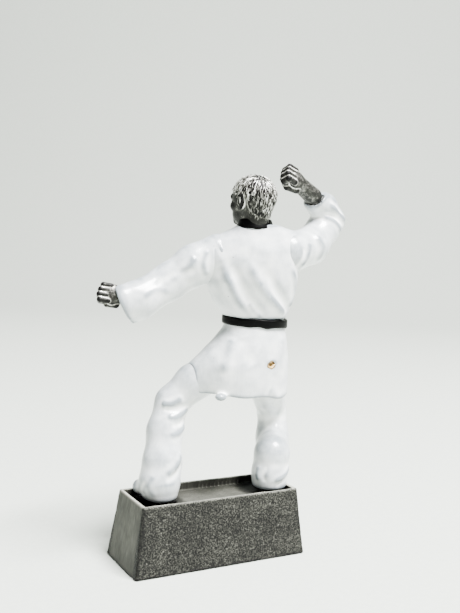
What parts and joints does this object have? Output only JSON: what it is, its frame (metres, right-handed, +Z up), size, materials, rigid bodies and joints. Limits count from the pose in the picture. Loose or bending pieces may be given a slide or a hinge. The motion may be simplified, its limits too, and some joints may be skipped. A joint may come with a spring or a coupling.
{
  "type": "figure trophy",
  "caption": "Martial arts figure trophy: cast resin fighter in a belted uniform, standing in a low guard on a tapered antique silver block.",
  "frame": {"origin": "centre of the felt underside, on the shelf", "axes": "+Z up through the head, -Y the way the figure and the blank plate face, +X to the figure's left along the block"},
  "size_m": [0.1229, 0.0402, 0.1822],
  "materials": {
    "resin_metal": "satin",
    "white_paint": "gloss",
    "black_paint": "gloss",
    "steel": "satin",
    "plate": "satin",
    "felt": "matte",
    "tape": "matte"
  },
  "bodies": {
    "root": {"base_block": "resin_metal", "base_felt": "felt", "name_plate": "plate", "plate_tape": "tape", "left_leg_rod": "steel", "right_leg_rod": "steel", "rod_washers": "steel", "rod_nuts": "steel", "left_foot": "resin_metal", "right_foot": "resin_metal", "left_leg": "white_paint", "right_leg": "white_paint", "jacket_skirt": "white_paint", "jacket_body": "white_paint", "belt_band": "black_paint", "belt_knot": "black_paint", "belt_tails": "black_paint", "collar_band": "black_paint", "head": "resin_metal", "left_sleeve": "white_paint", "right_sleeve": "white_paint", "left_fist": "resin_metal", "right_fist": "resin_metal", "neck_pin": "steel", "waist_pin": "steel", "left_shoulder_pin": "steel", "right_shoulder_pin": "steel", "left_hip_pin": "steel", "right_hip_pin": "steel", "left_wrist_pin": "steel", "right_wrist_pin": "steel"}
  },
  "joints": []
}
